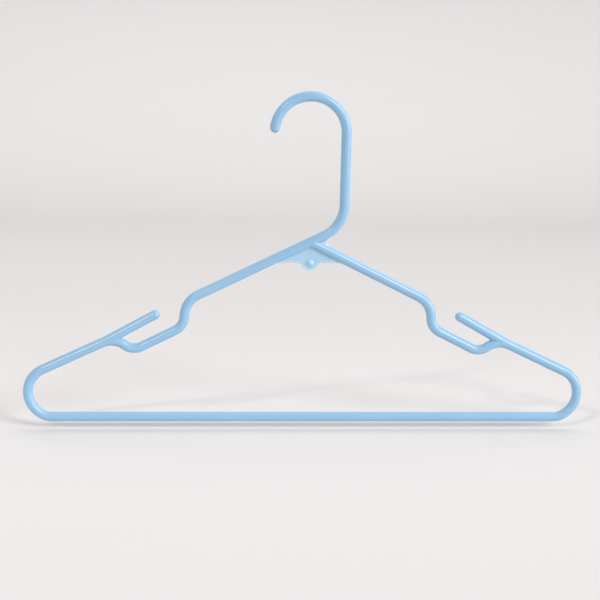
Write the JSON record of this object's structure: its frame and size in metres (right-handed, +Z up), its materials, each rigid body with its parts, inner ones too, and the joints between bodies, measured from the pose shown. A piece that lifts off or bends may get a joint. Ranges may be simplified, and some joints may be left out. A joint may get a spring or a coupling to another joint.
{
  "type": "tubular plastic clothes hanger",
  "caption": "Light blue moulded plastic clothes hanger bent from round tube, with a swept hook, notched shoulders with strap fingers, a neck web and a straight bottom bar.",
  "frame": {"origin": "highest point of the hook's inner curve, in the tube's middle plane, where a rail bears", "axes": "+Z up when hanging, X along the width with +X towards the side that the stem stands on, -Y the front face with the boss"},
  "size_m": [0.419, 0.0073, 0.2441],
  "materials": {
    "tube": "glossy light blue, slightly translucent, as moulded",
    "web": "the same plastic, paler where it is thin"
  },
  "bodies": {
    "root": {"hook": "tube", "hook_stem": "tube", "neck_bend": "tube", "left_shoulder": "tube", "right_shoulder": "tube", "left_strap_notch": "tube", "right_strap_notch": "tube", "left_strap_finger": "tube", "right_strap_finger": "tube", "left_arm": "tube", "right_arm": "tube", "left_end_bend": "tube", "right_end_bend": "tube", "bottom_bar": "tube", "neck_web": "web", "corner_web": "web", "web_boss": "web", "ejector_pads": "tube"}
  },
  "joints": []
}
